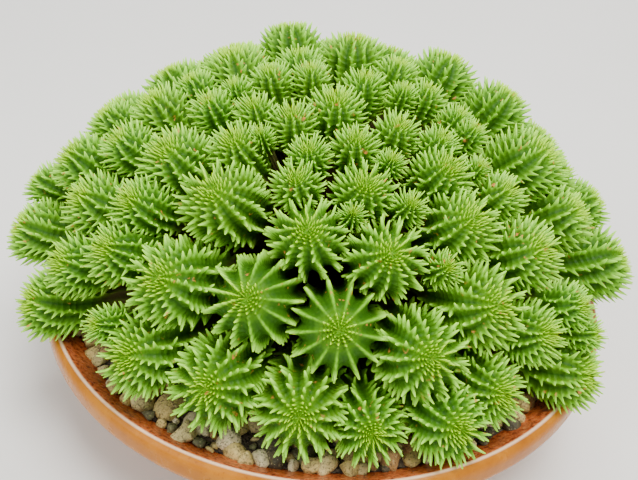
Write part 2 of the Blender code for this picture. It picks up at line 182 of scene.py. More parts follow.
# The finer heads of this file. A rib has five columns: its valley, two on each flank and two at its
# crest. A tooth has four rows: two at its tip and two at its foot. Along the body, 0 is the crown and 1
# is where the stem starts. A pair such as RIDGE_START says where something sets in and where it is full.
HEAD_SEED = 1000
RIBS_LARGE, RIBS_SMALL = 13, 11
SMALL_WIDTH = 0.033
ACROSS = (-1.0, -0.36, -0.06, 0.06, 0.36)
RIB_CREST = {1.0: 0.0, 0.36: 0.40, 0.06: 1.0}
TOOTH_CREST = {1.0: 0.0, 0.36: 0.12, 0.06: 1.0}
DOT_CREST = {1.0: 0.0, 0.36: 0.45, 0.06: 1.0}
BEATS = (0.0, 0.09, 0.42, 0.70)
TOOTH_BEATS = (1.0, 0.96, 0.05, 0.05)
GOLDEN_STEP = 0.618034
STEP_FADE = 6
TOOTH_PITCH = (0.0029, 0.0033)
HIDDEN_PITCHES = ((0.60, 1.5), (0.80, 2.4))
FAR_PITCH = 1.3
DOME_ARC = 1.05
CROWN_MARK = 0.020
FIRST_MARK = 0.030
LEAST_STEP = 0.022
MARK_GROWTH = 0.36
BUD = (0.018, 0.042)
GROWN_SMALL = (0.06, 0.24)
GROWN_LARGE = (0.06, 0.30)
RIDGE_START = (0.10, 0.36)
WORN = (0.80, 1.0)
WORN_TEETH = 0.7
WORN_RIBS = 0.4
CORK = (0.70, 1.0)
CORK_STRENGTH = 0.7
HEAD_SPREAD = 1.03
HEAD_TWIST = 0.25
RIB_HEIGHT = 0.11
DOT_LENGTHS = (0.0034, 0.0042)
TOOTH_BASE_LENGTH = 0.0038
TOOTH_SHARE = 0.12
TOOTH_RISE = 0.62
TOOTH_SWAY = 0.30
TOOTH_SIZES = (0.84, 1.14)
FIRST_ROW_SIZE = 0.1
SECOND_ROW_SIZE = 0.6
TEETH_OVERLAP = 0.0042
CROWN_DEPTH = 0.015
STEM_ROWS = 3
STEM_FOOT_SHARE = 0.8

# Painting masks past a head's ribs and teeth: along its stem, at its crown's point and at its foot
MASK_ENDS = {
    "tip": (0.0, 0.3, 0.0),
    "ridge": (0.3, 0.4, 0.0),
    "grown": (1.0, 0.0, 1.0),
    "low": (1.0, 0.0, 1.0),
}

# Two heads near the middle of the front have plain ribs that end in one long point, like a star. The
# ribs of the combed one keep their teeth where they face COMB_WAY.
STARS = ((-16, 59), (3, 62))
COMBED_STAR = STARS[0]
COMB_WAY = np.array((-0.86, 0.0, -0.50))
COMBED = (0.10, 0.45)
STAR_RIB_HEIGHT = 0.13
STAR_TOOTH_SHARE = 0.21
STAR_TOOTH_RISE = 0.25
STAR_QUIET = 0.20
QUIET_START = (0.10, 0.16)
QUIET_END = (0.30, 0.38)
# Painted shade: STAR_SHADE darkens the flanks between a star's ribs.
STAR_SHADE = 2.0
STAR_SWAY = 0.03

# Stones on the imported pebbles: balls pressed flat on random planes
STONE_SEED = 21
STONE_SPREAD = (1.06, 1.06, 0.66)
STONE_RISE = 0.42
FLATS = 12
FLAT_PLACES = (0.46, 0.88)
FLAT_PRESS = 0.94
STONE_SWELL = 1.30
LUMP_HEIGHT = 0.22
LUMP_SCALE = 2.2
LUMP_PLACES = (0, 50)

# Chips of stone between the pebbles and along the wall
CHIPS = 500
CHIP_DRAWS = 12000
CHIP_SIZE = (0.0024, 0.0060)
CHIP_LENGTHS = (0.7, 1.0)
CHIP_HEIGHTS = (0.5, 0.8)
CHIP_RISE = 0.35
CHIP_ROOM = 0.55
STONE_ROOM = 0.80
WALL_CHIPS = 112
WALL_CHIP_SIZE = (0.0020, 0.0068)
WALL_CHIP_RISE = (0.0010, 0.0032)
WALL_CHIP_HEIGHTS = (0.7, 0.9)
WALL_CHIP_INSET = (0.72, 1.25)
WALL_CHIP_JITTER = 0.3

# The bed of grit under them
BED_SIDES = 260
BED_STEPS = 14
BED_CHAMFER = 0.002
GRIT_SCALE = 400.0
GRIT_HEIGHT = 0.0012

# Where the glaze turns from the rust of the inside to the ochre of the outside, and both colours, each
# from dark to light
GLAZE_TURN_RADIUS = 0.1608
GLAZE_TURN_WIDTH = 0.0012
GLAZE_DEPTH = 0.004
OCHRE = ((0.25, (0.28, 0.078, 0.004)), (0.50, (0.40, 0.135, 0.006)), (0.80, (0.54, 0.215, 0.012)))
RUST = ((0.25, (0.36, 0.070, 0.016)), (0.55, (0.50, 0.115, 0.028)), (0.80, (0.62, 0.170, 0.044)))

# The camera, found from the rim, the lip's crest and the edge of the gravel
CAMERA_PLACE = (-0.0050, -0.4290, 0.4074)
CAMERA_PITCH = 35.75
CAMERA_ROLL = 4.37
CAMERA_LENS = 50
CAMERA_SENSOR = 36

# Colours of a head, its crown's dots and its stem
TINTS = {
    # painted shade: the valley tint is the dark at the bottom of the creases between the ribs
    "valley": (0.019, 0.078, 0.002),
    "flank": (0.050, 0.168, 0.005),
    "flank_warm": (0.105, 0.225, 0.005),
    "flank_light": (0.095, 0.260, 0.012),
    "ridge": (0.215, 0.540, 0.022),
    "crown": (0.080, 0.225, 0.001),
    "tubercle": (0.540, 0.940, 0.004),
    "tip": (0.480, 0.980, 0.085),
    "dry": (0.620, 0.230, 0.055),
    "cork": (0.120, 0.070, 0.035),
}

# Kinds of stone, each from its place in a draw between 0 and 1 to the next
STONE_KINDS = (
    (0.00, (0.66, 0.50, 0.17)),
    (0.18, (0.17, 0.17, 0.075)),
    (0.34, (0.050, 0.046, 0.028)),
    (0.46, (0.74, 0.60, 0.26)),
    (0.62, (0.42, 0.23, 0.075)),
    (0.74, (0.12, 0.125, 0.060)),
    (0.86, (0.84, 0.74, 0.44)),
)

# Dark and light colour and size of the grains of each kind of earth
BARK = ((0.060, 0.030, 0.018), (0.21, 0.11, 0.055), 260.0)
GRIT = ((0.030, 0.020, 0.014), (0.110, 0.078, 0.050), 520.0)
SOIL = ((0.018, 0.012, 0.009), (0.075, 0.048, 0.032), 420.0)

# Each lamp's name, place, size, power and colour, and the even light round it
LAMPS = (
    ("key", (0.35, -0.55, 1.7), 0.8, 48.0, (1.0, 0.985, 0.94)),
    ("fill", (-1.1, -0.8, 1.0), 1.2, 13.0, (0.98, 0.99, 1.0)),
    ("back", (0.2, 1.1, 1.4), 1.0, 21.0, (1.0, 1.0, 0.98)),
)
LAMP_TARGET = Vector((0, 0, 0.1))
STUDIO_COLOUR = (1.0, 0.99, 0.95)
STUDIO_STRENGTH = 0.72
FLOOR_SIZE = 4
FLOOR_COLOURS = ((0.2, (0.74, 0.735, 0.72)), (0.8, (0.78, 0.775, 0.76)))


def direction(bearing, lean):
    bearing, lean = math.radians(bearing), math.radians(lean)
    flat = math.sin(lean)
    return np.array((flat * math.sin(bearing), -flat * math.cos(bearing), math.cos(lean)))


def reach_to_dome(way):
    """How far it is from HUB to the dome of the crowns."""
    start = (HUB - DOME_CENTRE) / DOME_RADII
    step = way / DOME_RADII
    a, b, c = step @ step, start @ step, start @ start - 1
    return (-b + math.sqrt(b * b - a * c)) / a


def has_room(way, reach, width, heads, crowding):
    """Whether a head of this width is clear of all the others."""
    for bearing, lean, other_width, _ in heads:
        apart = math.acos(max(-1.0, min(1.0, float(way @ direction(bearing, lean)))))
        if apart * reach < crowding * MM * (width + other_width) / 2:
            return False
    return True


def far_heads(seen):
    """Fills the hidden side: a drawn place is kept where a head of its width has room."""
    draw = random.Random(FAR_SEED)
    heads = list(seen)
    for widths, crowding in zip(FAR_WIDTHS, FAR_CROWDING):
        for _ in range(FAR_DRAWS):
            bearing = draw.uniform(*FAR_BEARINGS)
            lean = draw.uniform(*FAR_LEANS)
            width = draw.uniform(*widths)
            way = direction(bearing, lean)
            reach = reach_to_dome(way)
            if has_room(way, reach, width, heads, crowding):
                heads.append((bearing, lean, width, FAR_REACH * reach / MM))
    return heads[len(seen):]


class Head:
    """One head: where its crown is, which way it faces and its width, as in the solids."""

    def __init__(self, index, bearing, lean, width, reach):
        self.index = index
        self.width = width * MM
        self.way = direction(bearing, lean)
        self.reach = reach * MM
        self.crown = HUB + self.way * self.reach
        self.face = direction(bearing, lean * LEAN_OF_FACE)
        self.is_offset = width <= OFFSET_WIDTH
        self.is_star = (bearing, lean) in STARS
        self.is_combed = (bearing, lean) == COMBED_STAR
        self.parent = None
        self.stem = self
        self.walls = []

    def frame(self):
        """Two directions square to the way the head faces."""
        side = np.cross(self.face, (0.0, 0.0, 1.0))
        if np.linalg.norm(side) < NEARLY_UPRIGHT:
            side = np.array((1.0, 0.0, 0.0))
        side = side / np.linalg.norm(side)
        return side, np.cross(self.face, side)

    def grow(self):
        """Widens the head to the room that its neighbours leave it, within a limit."""
        growth = GROWTH_LARGE if self.width > LARGE_WIDTH else GROWTH_SMALL
        limit = (self.width + growth) / 2
        spin = self.index * TURN
        side, other = self.frame()
        rooms = []
        for step in range(GROWTH_DIRECTIONS):
            turn = math.tau * step / GROWTH_DIRECTIONS + spin
            out = math.cos(turn) * side + math.sin(turn) * other
            room = limit
            for normal, _, _ in self.walls:
                if out @ normal > 0:
                    room = min(room, float((HUB - self.crown) @ normal / (out @ normal)))
            rooms.append(room)
        self.width = max(self.width, 2 * sum(rooms) / len(rooms))

    def centre(self, depth):
        """The centre line at each depth: it leaves the crown against the face and bends to the stem."""
        length = (DOME_HEIGHT + SIDE_LENGTH) * self.width / 2
        share = np.asarray(depth)[..., None] / (DOME_HEIGHT + SIDE_LENGTH)
        bend = self.crown - self.face * length / 2
        end = HUB + self.way * (self.reach - length)
        return (1 - share) ** 2 * self.crown + 2 * share * (1 - share) * bend + share * share * end


def wall_between(first, second):
    """The plane through HUB that parts two heads, nearer the narrower one."""
    cosine = float(first.way @ second.way)
    apart = math.acos(cosine)
    along = second.way - cosine * first.way
    along = along / np.linalg.norm(along)
    turn = apart * first.width / (first.width + second.width)
    return math.cos(turn) * along - math.sin(turn) * first.way


def raise_walls(heads):
    """Gives every two heads the plane that parts them."""
    for first in heads:
        for second in heads:
            if second.index > first.index:
                normal = wall_between(first, second)
                first.walls.append((normal, -GAP, second))
                second.walls.append((-normal, -GAP, first))


def root_bite(child, parent):
    """How far an offset's foot can run into the foot of the head that it grows from."""
    foot = HUB + child.way * STEM_START
    toward = HUB + parent.way * STEM_START - foot
    toward = toward - child.way * (toward @ child.way)
    point = foot + OFFSET_REACH * toward
    share = 1.0
    planes = [wall[:2] for wall in child.walls if wall[2].stem is not parent.stem]
    planes.append((np.array((0.0, 0.0, -1.0)), HUB[2] - HEAD_FLOOR))
    for normal, limit in planes:
        here = (foot - HUB) @ normal
        there = (point - HUB) @ normal
        if there > limit:
            share = min(share, max(LEAST_SHARE, (limit - here) / (there - here)))
    wall = next(wall for wall in child.walls if wall[2] is parent)
    return float((foot + (point - foot) * share - HUB) @ wall[0])


def all_heads():
    """Every head, grown, with each offset joined to the stem of the nearest head that it can root in."""
    rows = list(HEADS_SEEN)
    rows += far_heads(HEADS_SEEN)
    rows += HEADS_BEHIND
    heads = [Head(index, *row) for index, row in enumerate(rows)]
    raise_walls(heads)
    for head in heads:
        head.grow()
    joined = [head for head in heads if not head.is_offset]
    waiting = [head for head in heads if head.is_offset]
    while waiting:
        pairs = [(child, parent) for child in waiting for parent in joined]
        pairs.sort(key=lambda pair: -float(pair[0].way @ pair[1].way))
        child, parent = next(pair for pair in pairs if root_bite(*pair) > OFFSET_BITE)
        child.parent = parent
        child.stem = parent.stem
        waiting.remove(child)
        joined.append(child)
    return heads


def draw_in(head, centres, points, overlap):
    """Draws points towards their centres until they are inside the head's walls, softly at the teeth."""
    reach = points - centres
    share = np.ones(len(points))
    for normal, limit, _ in head.walls:
        here = (centres - HUB) @ normal
        there = (points - HUB) @ normal
        out = there > limit
        cut = np.clip((limit - here) / np.where(out, there - here, 1.0), LEAST_DRAW, 1.0)
        share = np.where(out, np.minimum(share, cut), share)
    length = np.linalg.norm(reach, axis=1)
    lost = length * (1 - share)
    soft = overlap * (1 - np.exp(-lost / max(overlap, TINY)))
    kept = length * share + soft
    points = centres + reach * (kept / np.maximum(length, TINY))[:, None]
    floor = HEAD_FLOOR + np.zeros(len(points))
    low = points[:, 2] < floor
    rise = (centres[:, 2] - floor) / np.where(low, centres[:, 2] - points[:, 2], 1.0)
    rise = np.clip(rise, LEAST_SHARE, 1.0)
    return np.where(low[:, None], centres + (points - centres) * rise[:, None], points)


def body_profile(share, web_radius):
    """Radius, depth and turn of the surface along the body, as parts of half the width."""
    turn = np.minimum(np.pi / 2, np.pi / 2 * share / DOME_SHARE)
    side = np.maximum(0.0, (share - DOME_SHARE) / (1 - DOME_SHARE))
    radius = web_radius * np.sin(turn) * (1 - SIDE_TAPER * side * side)
    depth = DOME_HEIGHT * (1 - np.cos(turn)) + SIDE_LENGTH * side
    return radius, depth, turn


def smooth_step(low, high, value):
    part = np.clip((value - low) / (high - low), 0, 1)
    return part * part * (3 - 2 * part)


def tooth_marks(head):
    """Where the rows of teeth stand along the body: dense at the crown, then evenly apart."""
    length = (DOME_ARC + SIDE_LENGTH) * head.width / 2
    pitch = TOOTH_PITCH[0 if head.width < SMALL_WIDTH else 1] / length
    if head.index >= len(HEADS_SEEN):
        pitch *= FAR_PITCH
    marks = [FIRST_MARK]
    while marks[-1] < 1 - pitch:
        step = min(pitch, max(LEAST_STEP, MARK_GROWTH * marks[-1]))
        for place, factor in HIDDEN_PITCHES:
            if marks[-1] > place:
                step = pitch * factor
        marks.append(marks[-1] + step)
    marks[-1] = 1.0
    return np.array(marks)


def draw_per_tooth(draw, low, high, teeth, ribs):
    """Draws one value for each tooth."""
    return np.array([draw.uniform(low, high) for _ in range(teeth * ribs)]).reshape(teeth, ribs)


def per_point(values):
    """Spreads one value for each tooth over the rows and columns that make it."""
    values = np.repeat(np.repeat(values, len(ACROSS), axis=1), len(BEATS), axis=0)
    return np.concatenate([values, values[-1:]])


def by_column(table, across):
    """The value of a table such as RIB_CREST for each column of a head."""
    return np.array([table[abs(value)] for value in across])[None, :]


def tooth_sizes(head, share, rib_turns, teeth, ribs, draw):
    """A factor for the length of each tooth: every second rib starts a row later, and a star is quiet."""
    size = draw_per_tooth(draw, *TOOTH_SIZES, teeth, ribs)
    size[0, 1::2] = FIRST_ROW_SIZE
    size[1, 0::2] *= SECOND_ROW_SIZE
    size = per_point(size)
    if head.is_star:
        quiet = smooth_step(*QUIET_START, share) * (1 - smooth_step(*QUIET_END, share))
        if head.is_combed:
            side, other = head.frame()
            combed = np.cos(rib_turns) * (side @ COMB_WAY) + np.sin(rib_turns) * (other @ COMB_WAY)
            quiet = quiet * (1 - smooth_step(*COMBED, combed))[None, :]
        size = size * (1 - (1 - STAR_QUIET) * quiet)
    return size


def places_along(marks, rib, across, ribs):
    """Where each point stands along the body. The teeth of neighbouring ribs are out of step."""
    teeth = len(marks) - 1
    phase = (np.arange(ribs + 2) * GOLDEN_STEP) % 1.0 - 0.5
    phase[ribs] = phase[0]
    phase[ribs + 1] = phase[ribs - 1]
    beside = np.where(across < 0, phase[np.where(rib == 0, ribs + 1, rib - 1)], phase[rib + 1])
    shift = phase[rib] + (beside - phase[rib]) * np.abs(across) / 2
    row = (np.arange(teeth)[:, None] + np.array(BEATS)[None, :]).reshape(-1)
    row = np.append(row, teeth)[:, None]
    spot = row + shift[None, :] * (1 - (row / teeth) ** STEP_FADE)
    return np.interp(spot, np.arange(-1, teeth + 1), np.concatenate([[CROWN_MARK], marks]))


def head_surface(head, draw):
    """Rows of points over a head's ribs and teeth, their directions outwards and their painting masks."""
    half = head.width / 2
    small = head.width < SMALL_WIDTH
    ribs = RIBS_SMALL if small else RIBS_LARGE
    marks = tooth_marks(head)
    teeth = len(marks) - 1
    spin = draw.uniform(0, math.tau)
    twist = 0.0 if head.is_star else draw.uniform(-HEAD_TWIST, HEAD_TWIST)
    sway_limit = STAR_SWAY if head.is_star else TOOTH_SWAY
    side, other = head.frame()

    across = np.tile(np.array(ACROSS), ribs)
    rib = np.repeat(np.arange(ribs), len(ACROSS))
    share = places_along(marks, rib, across, ribs)
    bump = np.append(np.tile(TOOTH_BEATS, teeth), 0.0)[:, None] * np.ones((1, len(across)))
    tooth_crest = by_column(TOOTH_CREST, across)
    dot_crest = by_column(DOT_CREST, across)
    rib_crest = by_column(RIB_CREST, across)

    rib_height, rise = RIB_HEIGHT, TOOTH_RISE
    tooth_length = TOOTH_BASE_LENGTH / half + TOOTH_SHARE
    if head.is_star:
        rib_height, tooth_length, rise = STAR_RIB_HEIGHT, STAR_TOOTH_SHARE, STAR_TOOTH_RISE
    web_radius = HEAD_SPREAD - rib_height - tooth_length / math.hypot(1, rise)
    radius, depth, turn = body_profile(share, web_radius)
    grown = smooth_step(*(GROWN_SMALL if small else GROWN_LARGE), share)
    wear_and_highlight = smooth_step(*WORN, share)
    crest = dot_crest + (tooth_crest - dot_crest) * grown
    size = tooth_sizes(head, share, spin + math.tau * rib / ribs, teeth, ribs, draw)
    dot_length = DOT_LENGTHS[0 if small else 1] / half
    full_tooth = (dot_length + (tooth_length - dot_length) * grown) * bump * crest
    open_part = smooth_step(*BUD, share)
    tooth = full_tooth * (1 - WORN_TEETH * wear_and_highlight) * size * open_part
    ridge = rib_height * smooth_step(*RIDGE_START, share) * rib_crest * (1 - WORN_RIBS * wear_and_highlight)
    out_part = np.sin(turn)
    up_part = np.cos(turn) + rise * grown
    norm = np.hypot(out_part, up_part)
    radius = radius + ridge * np.sin(turn) + tooth * out_part / norm
    depth = depth - ridge * np.cos(turn) - tooth * up_part / norm
    sway = per_point(draw_per_tooth(draw, -sway_limit, sway_limit, teeth, ribs)) * bump * crest
    angle = spin + math.tau * ((rib + across / 2)[None, :] + sway) / ribs + twist * share
    centre = head.centre(depth.reshape(-1))
    out = np.cos(angle)[..., None] * side + np.sin(angle)[..., None] * other
    points = centre + out.reshape(-1, 3) * (radius.reshape(-1) * half)[:, None]
    points = draw_in(head, centre, points, TEETH_OVERLAP)

    # Painted shade: the ridge mask falls to 0 in the valley, which takes the dark valley tint. On a star,
    # the power makes the flanks darker still.
    shade = rib_crest ** (STAR_SHADE if head.is_star else 1.0)
    masks = {
        "tip": (bump * crest * np.minimum(1.0, size) * open_part).reshape(-1),
        "ridge": (shade * np.ones((len(share), 1))).reshape(-1),
        "grown": grown.reshape(-1),
        "low": smooth_step(*CORK, share).reshape(-1) * CORK_STRENGTH,
    }
    return points, out, masks


def stem_points(head, last, out, foot_centre):
    """Rows of points from a head's last row to its foot on the rootstock."""
    flat = out - head.way * (out @ head.way)[:, None]
    flat = flat / np.linalg.norm(flat, axis=1)[:, None]
    foot = foot_centre + flat * STEM_FOOT_RADIUS * STEM_FOOT_SHARE
    foot = draw_in(head, np.repeat(foot_centre[None], len(last), 0), foot, 0.0)
    return np.concatenate([last + (foot - last) * step / STEM_ROWS for step in range(1, STEM_ROWS + 1)])


def ring_quads(rows, columns):
    """Faces between rows of points that each run once round."""
    start = np.arange(rows - 1)[:, None] * columns
    first = start + np.arange(columns)[None, :]
    following = start + (np.arange(columns)[None, :] + 1) % columns
    return np.stack([first, first + columns, following + columns, following], -1).reshape(-1, 4)


def end_fans(rows, columns):
    """Faces that close the first and the last row, each to one of the two points after the rows."""
    ring = np.arange(columns)
    after = (ring + 1) % columns
    top = rows * columns
    low = top - columns
    first = np.stack([np.full(columns, top), ring, after], -1)
    last = np.stack([np.full(columns, top + 1), low + after, low + ring], -1)
    return np.concatenate([first, last])


def head_arrays(head):
    """Points, faces and painting masks of one head with its stem."""
    draw = random.Random(HEAD_SEED + head.index)
    surface, out, masks = head_surface(head, draw)
    rows, columns = out.shape[:2]
    foot_centre = HUB + head.way * STEM_START
    stem = stem_points(head, surface[-columns:], out[-1], foot_centre)
    crown = head.crown - head.face * head.width / 2 * CROWN_DEPTH
    points = np.concatenate([surface, stem, [crown], [foot_centre]])
    for name, (stem_value, crown_value, foot_value) in MASK_ENDS.items():
        stem_values = np.full(len(stem), stem_value)
        masks[name] = np.concatenate([masks[name], stem_values, [crown_value, foot_value]])
    masks["tint"] = np.full(len(points), draw.random())
    rows += STEM_ROWS
    return points, ring_quads(rows, columns), end_fans(rows, columns), masks


def mesh_object(name, arrays, material, node):
    """A smooth piece from its points, quads, triangles and masks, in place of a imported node."""
    points, quads, triangles, masks = arrays
    mesh = bpy.data.meshes.new(name)
    faces = [tuple(face) for face in quads] + [tuple(face) for face in triangles]
    mesh.from_pydata([tuple(point) for point in points], [], faces)
    mesh.polygons.foreach_set("use_smooth", [True] * len(mesh.polygons))
    for mask, values in masks.items():
        layer = mesh.attributes.new(mask, "FLOAT", "POINT")
        layer.data.foreach_set("value", np.ascontiguousarray(values, dtype=np.float32))
    mesh.materials.append(material)
    mesh.validate()
    made = bpy.data.objects.new(name, mesh)
    bpy.context.scene.collection.objects.link(made)
    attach(made, "root")
    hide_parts(node)
    return made


def joined_arrays(parts):
    """Puts several sets of points, quads, triangles and masks into one."""
    points, quads, triangles, masks = [], [], [], {}
    count = 0
    for part_points, part_quads, part_triangles, part_masks in parts:
        points.append(part_points)
        quads.append(part_quads + count)
        triangles.append(part_triangles + count)
        for name, values in part_masks.items():
            masks.setdefault(name, []).append(values)
        count += len(part_points)
    masks = {name: np.concatenate(values) for name, values in masks.items()}
    return np.concatenate(points), np.concatenate(quads), np.concatenate(triangles), masks


# Materials

class Nodes:
    """Short ways to make and join the nodes of one material."""

    def __init__(self, name, roughness=0.5):
        self.material = bpy.data.materials.new(name)
        self.material.use_nodes = True
        self.tree = self.material.node_tree
        self.shader = self.tree.nodes["Principled BSDF"]
        self.shader.inputs["Roughness"].default_value = roughness

    def add(self, kind, **settings):
        node = self.tree.nodes.new(kind)
        for key, value in settings.items():
            setattr(node, key, value)
        return node

    def join(self, source, target):
        self.tree.links.new(source, target)

    def attribute(self, name):
        return self.add("ShaderNodeAttribute", attribute_name=name).outputs["Fac"]

    def noise(self, scale, detail, rough=0.6):
        node = self.add("ShaderNodeTexNoise")
        node.inputs["Scale"].default_value = scale
        node.inputs["Detail"].default_value = detail
        node.inputs["Roughness"].default_value = rough
        self.join(self.place(), node.inputs["Vector"])
        return node.outputs["Fac"]

    def cells(self, scale):
        node = self.add("ShaderNodeTexVoronoi", feature="F1")
        node.inputs["Scale"].default_value = scale
        self.join(self.place(), node.inputs["Vector"])
        return node.outputs["Distance"]

    def place(self):
        if not hasattr(self, "coordinates"):
            self.coordinates = self.add("ShaderNodeTexCoord").outputs["Object"]
        return self.coordinates

    def ramp(self, source, stops, mode="LINEAR"):
        node = self.add("ShaderNodeValToRGB")
        node.color_ramp.interpolation = mode
        while len(node.color_ramp.elements) < len(stops):
            node.color_ramp.elements.new(0.5)
        for element, (position, colour) in zip(node.color_ramp.elements, stops):
            element.position = position
            element.color = (*colour, 1)
        self.join(source, node.inputs["Fac"])
        return node.outputs["Color"]

    def grey(self, source, stops):
        return self.ramp(source, [(position, (value,) * 3) for position, value in stops])

    def mix(self, factor, first, second):
        node = self.add("ShaderNodeMix", data_type="RGBA")
        for socket, value in ((0, factor), (6, first), (7, second)):
            if isinstance(value, (float, int)):
                node.inputs[socket].default_value = value
            elif isinstance(value, tuple):
                node.inputs[socket].default_value = (*value, 1)
            else:
                self.join(value, node.inputs[socket])
        return node.outputs[2]

    def math(self, operation, first, second, clamp=False):
        node = self.add("ShaderNodeMath", operation=operation, use_clamp=clamp)
        for socket, value in enumerate((first, second)):
            if isinstance(value, (float, int)):
                node.inputs[socket].default_value = value
            else:
                self.join(value, node.inputs[socket])
        return node.outputs[0]

    def bump(self, height, strength, distance):
        node = self.add("ShaderNodeBump")
        node.inputs["Strength"].default_value = strength
        node.inputs["Distance"].default_value = distance
        self.join(height, node.inputs["Height"])
        self.join(node.outputs["Normal"], self.shader.inputs["Normal"])

    def colour(self, source):
        self.join(source, self.shader.inputs["Base Color"])

    def roughness(self, source):
        self.join(source, self.shader.inputs["Roughness"])


def head_material():
    """Valleys darkened with painted shade, green flanks, pale ribs and teeth, yellow dots at the crown and
    a corky stem.
    """
    made = Nodes("spurge_skin", 0.42)
    made.shader.inputs["Specular IOR Level"].default_value = 0.12
    made.shader.inputs["Subsurface Weight"].default_value = 0.10
    made.shader.inputs["Subsurface Radius"].default_value = (0.0012, 0.0020, 0.0005)
    made.shader.inputs["Subsurface Scale"].default_value = 1.0
    ridge, tip, grown = made.attribute("ridge"), made.attribute("tip"), made.attribute("grown")
    low, tint = made.attribute("low"), made.attribute("tint")
    fine = made.noise(900.0, 3.0)
    patches = made.noise(70.0, 3.0)
    mottled = made.math("ADD", ridge, made.math("MULTIPLY", made.math("SUBTRACT", fine, 0.5), 0.20))
    flank = made.mix(made.math("MULTIPLY", tint, 0.7), TINTS["flank"], TINTS["flank_warm"])
    flank = made.mix(made.grey(patches, [(0.35, 0.0), (0.70, 0.6)]), flank, TINTS["flank_light"])
    # Painted shade: towards the bottom of each crease between the ribs, the skin darkens from the flank to
    # the valley tint.
    skin = made.mix(made.grey(mottled, [(0.0, 0.0), (0.55, 1.0)]), TINTS["valley"], flank)
    pale = made.math("MULTIPLY", made.grey(mottled, [(0.50, 0.0), (1.0, 0.75)]), grown)
    skin = made.mix(pale, skin, TINTS["ridge"])
    skin = made.mix(made.grey(tip, [(0.25, 0.0), (0.95, 1.0)]), skin, TINTS["tip"])
    young = made.mix(made.grey(tip, [(0.20, 0.0), (0.85, 1.0)]), TINTS["crown"], TINTS["tubercle"])
    skin = made.mix(made.grey(grown, [(0.0, 1.0), (0.75, 0.0)]), skin, young)
    flecks = made.grey(made.noise(260.0, 2.0), [(0.63, 0.0), (0.71, 1.0)])
    dry = made.math("MULTIPLY", flecks, made.grey(patches, [(0.52, 0.0), (0.60, 1.0)]))
    skin = made.mix(dry, skin, TINTS["dry"])
    skin = made.mix(low, skin, TINTS["cork"])
    made.colour(skin)
    made.roughness(made.grey(fine, [(0.2, 0.36), (0.8, 0.56)]))
    made.bump(made.math("ADD", fine, made.math("MULTIPLY", made.cells(700.0), 0.6)), 0.30, 0.0005)
    return made.material


def stone_material():
    """Each stone has a colour of its own, clouded and with dark and light specks."""
    made = Nodes("pebbles", 0.7)
    base = made.ramp(made.attribute("kind"), STONE_KINDS, "CONSTANT")
    cloud = made.noise(190.0, 5.0, 0.7)
    speck = made.noise(850.0, 3.0)
    base = made.mix(made.grey(cloud, [(0.42, 0.0), (0.66, 0.55)]), base, (0.17, 0.12, 0.045))
    base = made.mix(made.grey(speck, [(0.54, 0.0), (0.61, 0.75)]), base, (0.070, 0.062, 0.032))
    base = made.mix(made.grey(speck, [(0.32, 0.55), (0.42, 0.0)]), base, (0.74, 0.64, 0.34))
    made.colour(base)
    made.roughness(made.grey(cloud, [(0.2, 0.55), (0.8, 0.85)]))
    made.bump(made.math("ADD", cloud, made.math("MULTIPLY", speck, 0.5)), 0.7, 0.0020)
    return made.material


def earth_material(name, dark, light, scale):
    """Loose or fibrous grains, dark to light in clouds."""
    made = Nodes(name, 0.95)
    grains = made.cells(scale)
    cloud = made.noise(scale * 0.25, 5.0, 0.7)
    base = made.ramp(cloud, [(0.25, dark), (0.75, light)])
    base = made.mix(made.grey(grains, [(0.0, 0.45), (0.35, 0.0)]), base, (0.16, 0.11, 0.07))
    made.colour(base)
    made.bump(made.math("ADD", grains, cloud), 0.9, 0.0030)
    return made.material


